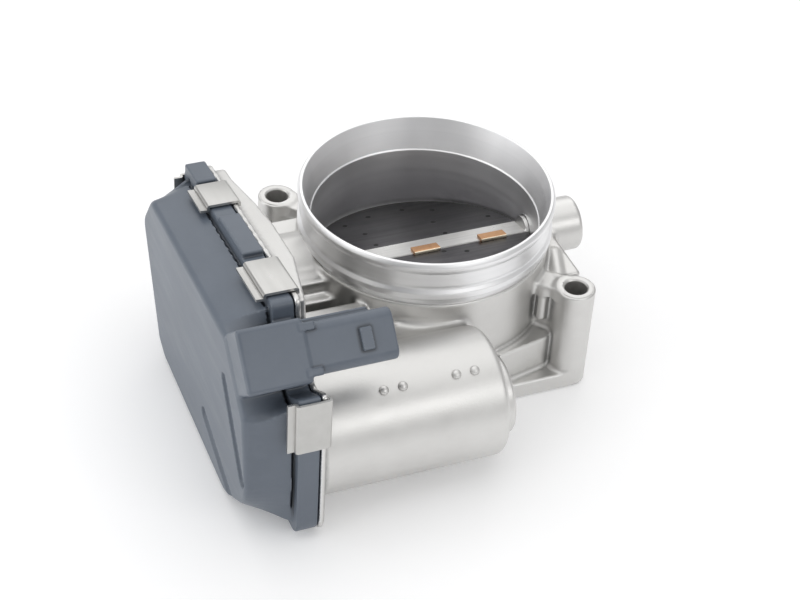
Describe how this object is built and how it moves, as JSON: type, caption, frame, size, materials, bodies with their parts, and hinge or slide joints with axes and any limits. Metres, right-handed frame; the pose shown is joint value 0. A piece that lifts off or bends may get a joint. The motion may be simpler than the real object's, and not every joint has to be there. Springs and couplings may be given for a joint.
{
  "type": "throttle body",
  "caption": "Electronic throttle body with a round duct, tilting plate on a cross shaft, side motor, clipped gear cover and a plug socket.",
  "frame": {"origin": "centre of the footprint box on the base (engine side) face", "axes": "+Z along the duct towards the intake rim, +X along the throttle shaft away from the gear cover, -Y on the motor side"},
  "size_m": [0.1562, 0.1424, 0.0818],
  "materials": {
    "casting": "die cast, matte, with a machined neck and bore",
    "cover_plastic": "glass filled nylon, blue grey",
    "steel": "turned",
    "spring_steel": "bright rolled strip",
    "dark_plate": "dark smooth",
    "brass": "drawn",
    "nylon": "natural, moulded",
    "rubber": "moulded",
    "copper_alloy": "bare",
    "magnet": "sintered",
    "zinc_steel": "zinc plated",
    "circuit_board": "lacquered glass epoxy"
  },
  "bodies": {
    "casing": {"housing": "casting", "gear_cover": "cover_plastic", "terminal_1": "brass", "terminal_2": "brass", "terminal_3": "brass", "terminal_4": "brass", "terminal_5": "brass", "terminal_6": "brass", "cover_clip_1": "spring_steel", "cover_clip_2": "spring_steel", "cover_clip_3": "spring_steel", "cover_clip_4": "spring_steel", "cover_clip_5": "spring_steel", "cover_clip_6": "spring_steel", "gear_pin": "steel", "motor_can": "zinc_steel", "motor_plate": "zinc_steel", "motor_screw_1": "steel", "motor_screw_2": "steel", "bearing_gear_side": "steel", "bearing_far_side": "steel", "shaft_seal": "rubber", "end_plug": "zinc_steel", "base_seal": "rubber", "stop_screw": "steel", "sensor_board": "circuit_board", "return_spring": "spring_steel"},
    "throttle": {"throttle_shaft": "steel", "throttle_plate": "dark_plate", "plate_tab_1": "copper_alloy", "plate_tab_2": "copper_alloy", "sector_gear": "nylon", "sensor_magnet": "magnet"},
    "intermediate": {"intermediate_gear": "nylon"},
    "rotor": {"motor_rotor": "steel", "motor_pinion": "brass"}
  },
  "joints": [
    {"name": "throttle_hinge", "type": "hinge", "parent": "casing", "child": "throttle", "pos_m": [0.01735, 0.02215, 0.037], "axis": [-1, 0, 0], "range_deg": [-7, 77], "stiffness_Nm_per_rad": 0.15},
    {"name": "intermediate_hinge", "type": "hinge", "parent": "casing", "child": "intermediate", "pos_m": [-0.06265, -0.01159, 0.03633], "axis": [-1, 0, 0], "range_deg": [-275, 27]},
    {"name": "rotor_hinge", "type": "hinge", "parent": "casing", "child": "rotor", "pos_m": [-0.02265, -0.04285, 0.024], "axis": [-1, 0, 0], "range_deg": [-116, 1258]}
  ],
  "couplings": [
    {"joint": "intermediate_hinge", "follows": "throttle_hinge", "ratio": -3.5455},
    {"joint": "rotor_hinge", "follows": "throttle_hinge", "ratio": 16.309}
  ]
}
